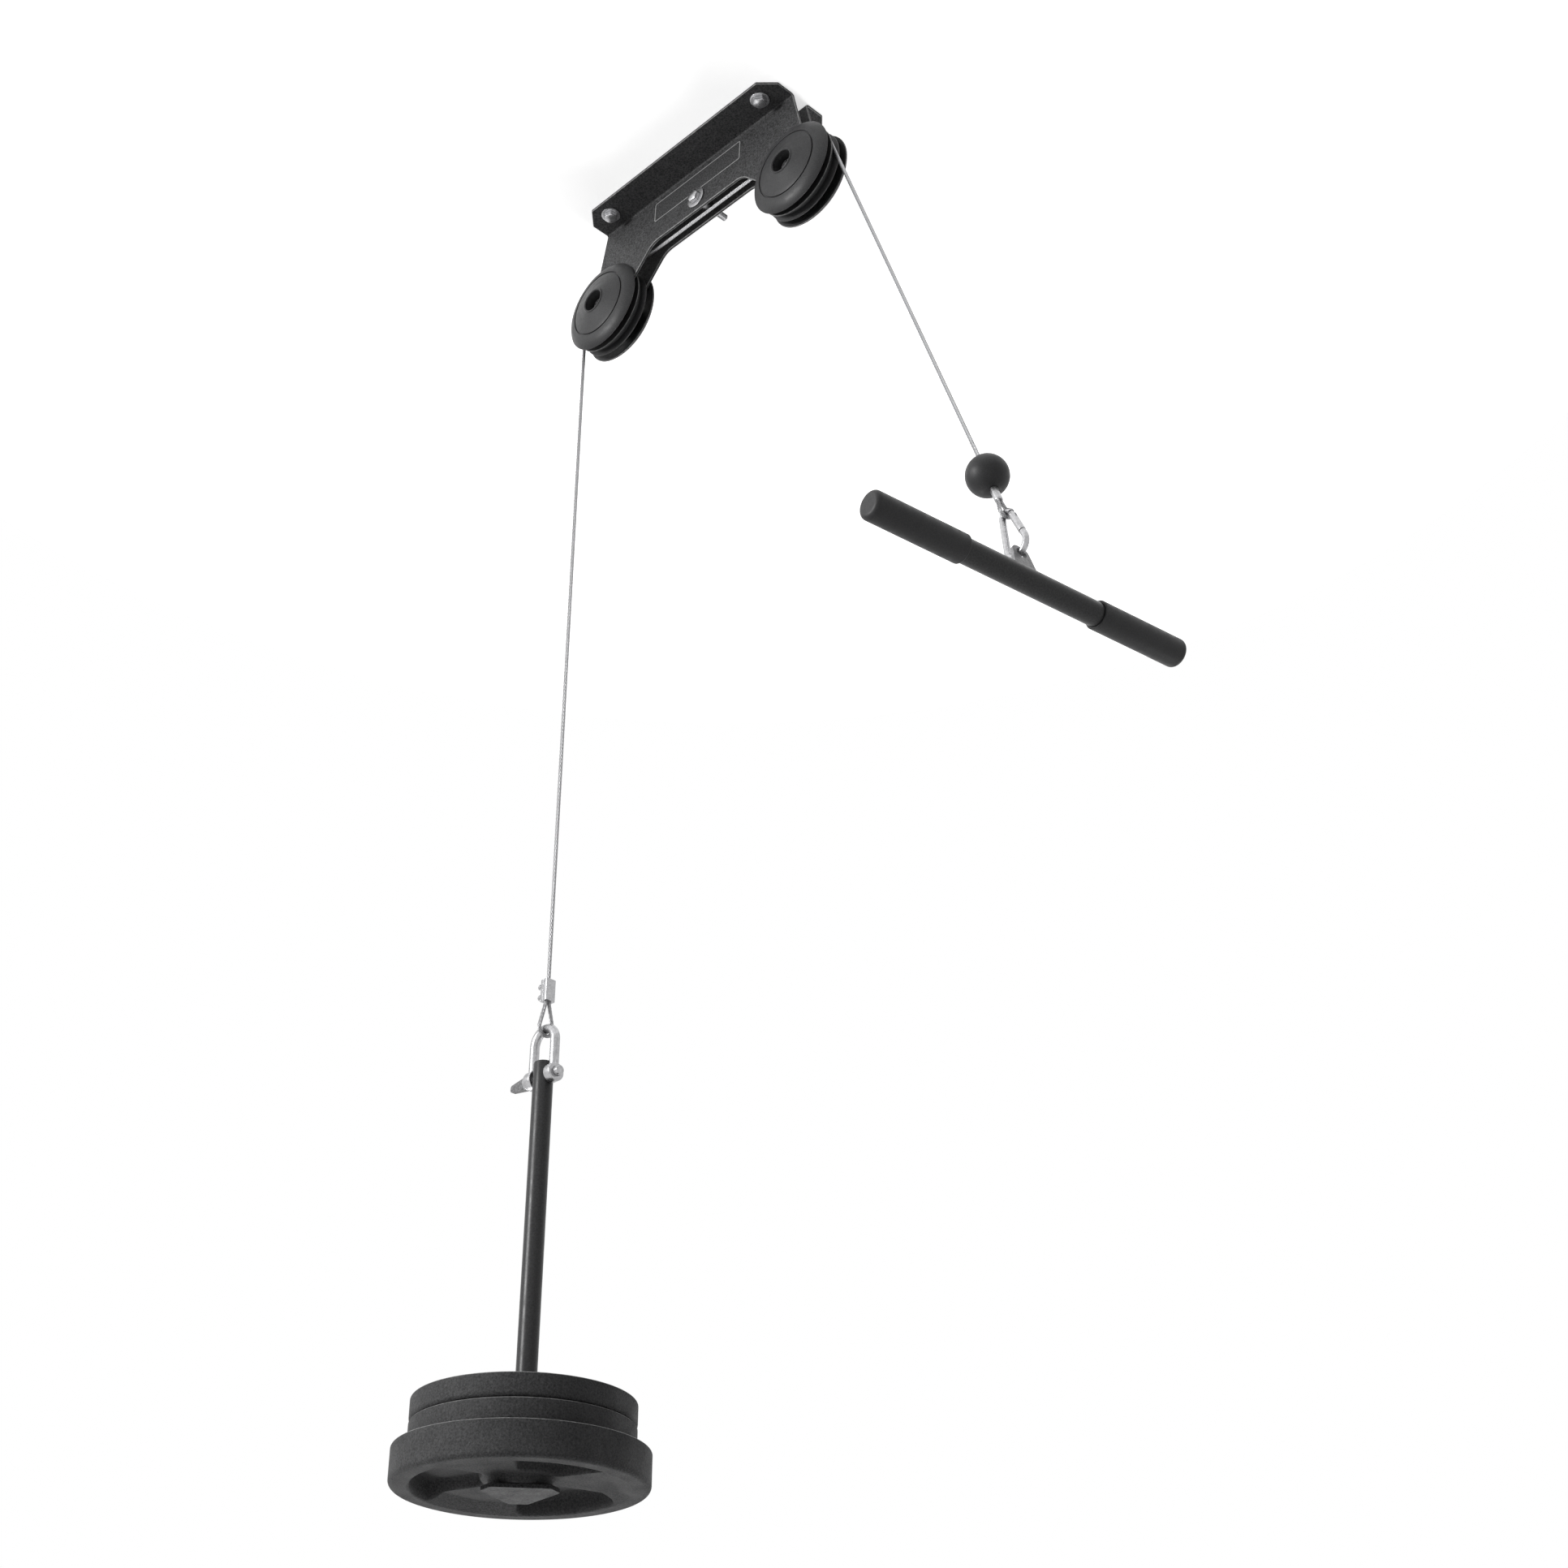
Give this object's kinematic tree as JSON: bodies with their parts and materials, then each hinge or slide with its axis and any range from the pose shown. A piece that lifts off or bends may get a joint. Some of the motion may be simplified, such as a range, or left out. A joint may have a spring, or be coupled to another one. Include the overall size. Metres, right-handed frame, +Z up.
{
  "type": "ceiling pulley",
  "caption": "Ceiling-mounted twin pulley with a wire rope, a loading pin with weight plates on one end and a pull-down bar on a carabiner at the other.",
  "frame": {"origin": "on the ceiling plane, at the centre of the four ceiling bolts", "axes": "+X along the bracket from the weight side to the handle side, +Y along the pulley axles from the near side plate to the far one, +Z up"},
  "size_m": [0.989, 0.4555, 1.8349],
  "materials": {
    "black_powder_coat": "fine-textured black powder coat, satin",
    "zinc": "bright zinc plate",
    "black_plastic": "satin black moulding",
    "bearing_steel": "ground and polished",
    "wire_rope": "galvanised stranded wire",
    "plate_black": "grainy matt black paint",
    "rubber": "matt"
  },
  "bodies": {
    "bracket": {"near_side_plate": "black_powder_coat", "far_side_plate": "black_powder_coat", "ceiling_bolt_1": "zinc", "ceiling_bolt_2": "zinc", "ceiling_bolt_3": "zinc", "ceiling_bolt_4": "zinc", "ceiling_washer_1": "zinc", "ceiling_washer_2": "zinc", "ceiling_washer_3": "zinc", "ceiling_washer_4": "zinc", "centre_bolt": "zinc", "centre_washer_near": "zinc", "centre_washer_far": "zinc", "centre_nut": "zinc", "centre_spacer": "zinc", "weight_near_cover": "black_plastic", "weight_far_cover": "black_plastic", "weight_axle_bolt": "zinc", "weight_axle_nut": "zinc", "weight_axle_sleeve": "bearing_steel", "weight_bearing_inner_ring": "bearing_steel", "weight_bearing_balls": "bearing_steel", "handle_near_cover": "black_plastic", "handle_far_cover": "black_plastic", "handle_axle_bolt": "zinc", "handle_axle_nut": "zinc", "handle_axle_sleeve": "bearing_steel", "handle_bearing_inner_ring": "bearing_steel", "handle_bearing_balls": "bearing_steel", "rope_over_pulleys": "wire_rope"},
    "weight_pulley": {"weight_pulley_wheel": "black_plastic", "weight_bearing_outer_ring": "bearing_steel"},
    "handle_pulley": {"handle_pulley_wheel": "black_plastic", "handle_bearing_outer_ring": "bearing_steel"},
    "weight_rope": {"weight_rope_run": "wire_rope"},
    "weight_end": {"rope_clamp": "zinc", "clamp_screw_upper": "zinc", "clamp_screw_lower": "zinc", "weight_rope_eye": "wire_rope"},
    "shackle": {"shackle_bow": "zinc", "shackle_pin": "zinc"},
    "weight_rod": {"loading_pin": "black_powder_coat", "pin_base": "black_powder_coat"},
    "large_weight": {"large_plate": "plate_black"},
    "lower_small_weight": {"small_plate_lower": "plate_black"},
    "upper_small_weight": {"small_plate_upper": "plate_black"},
    "handle_rope": {"handle_rope_run": "wire_rope"},
    "handle_end": {"stop_ball": "rubber", "ferrule": "zinc", "handle_rope_eye": "wire_rope"},
    "carabiner": {"carabiner_body": "zinc", "carabiner_gate_pin": "zinc"},
    "gate": {"carabiner_gate": "zinc"},
    "bar": {"bar_tube": "black_powder_coat", "bar_lug": "black_powder_coat", "left_grip": "rubber", "right_grip": "rubber"}
  },
  "joints": [
    {"name": "weight_pulley_spin", "type": "hinge", "parent": "bracket", "child": "weight_pulley", "pos_m": [-0.194, 0, -0.144], "axis": [0, 1, 0], "continuous": true},
    {"name": "handle_pulley_spin", "type": "hinge", "parent": "bracket", "child": "handle_pulley", "pos_m": [0.194, 0, -0.144], "axis": [0, 1, 0], "continuous": true},
    {"name": "weight_rope_swing", "type": "hinge", "parent": "bracket", "child": "weight_rope", "pos_m": [-0.194, 0, -0.144], "axis": [0, 1, 0], "range_deg": [-8, 8], "deforming": ["rope_over_pulleys"]},
    {"name": "weight_lift", "type": "slide", "parent": "weight_rope", "child": "weight_end", "axis": [0, 0, 1], "range_m": [-0.66, 0.9], "deforming": ["weight_rope_run"]},
    {"name": "shackle_swing", "type": "hinge", "parent": "weight_end", "child": "shackle", "pos_m": [-0.255, 0, -1.2891], "axis": [0, 1, 0], "range_deg": [-20, 20]},
    {"name": "loading_pin_swing", "type": "hinge", "parent": "shackle", "child": "weight_rod", "pos_m": [-0.255, 0, -1.3329], "axis": [1, 0, 0], "range_deg": [-25, 25]},
    {"name": "large_plate_slide", "type": "slide", "parent": "weight_rod", "child": "large_weight", "axis": [0, 0, 1], "range_m": [0, 0.12]},
    {"name": "small_lower_slide", "type": "slide", "parent": "large_weight", "child": "lower_small_weight", "axis": [0, 0, 1], "range_m": [0, 0.12]},
    {"name": "small_upper_slide", "type": "slide", "parent": "lower_small_weight", "child": "upper_small_weight", "axis": [0, 0, 1], "range_m": [0, 0.12]},
    {"name": "handle_rope_swing", "type": "hinge", "parent": "bracket", "child": "handle_rope", "pos_m": [0.194, 0, -0.144], "axis": [0, -1, 0], "range_deg": [-29, 40], "deforming": ["rope_over_pulleys"]},
    {"name": "handle_pull", "type": "slide", "parent": "handle_rope", "child": "handle_end", "axis": [0.3231, 0, -0.9464], "range_m": [-0.66, 0.9], "deforming": ["handle_rope_run"]},
    {"name": "carabiner_swing", "type": "hinge", "parent": "handle_end", "child": "carabiner", "pos_m": [0.51505, 0, -0.89558], "axis": [0.1184, 0.993, 0], "range_deg": [-25, 25]},
    {"name": "carabiner_gate", "type": "hinge", "parent": "carabiner", "child": "gate", "pos_m": [0.52436, -0.00111, -0.89835], "axis": [0.1184, 0.993, 0], "range_deg": [0, 30], "stiffness_Nm_per_rad": 0.02, "springref_deg": -17.19},
    {"name": "bar_tilt", "type": "hinge", "parent": "carabiner", "child": "bar", "pos_m": [0.53134, -0.00194, -0.95433], "axis": [0.9564, -0.114, 0.2689], "range_deg": [-30, 30]}
  ],
  "couplings": [
    {"joint": "weight_pulley_spin", "follows": "weight_lift", "rad_per_m": 16.393},
    {"joint": "handle_pulley_spin", "follows": "weight_lift", "rad_per_m": 16.393},
    {"joint": "handle_pull", "follows": "weight_lift", "ratio": 1}
  ]
}
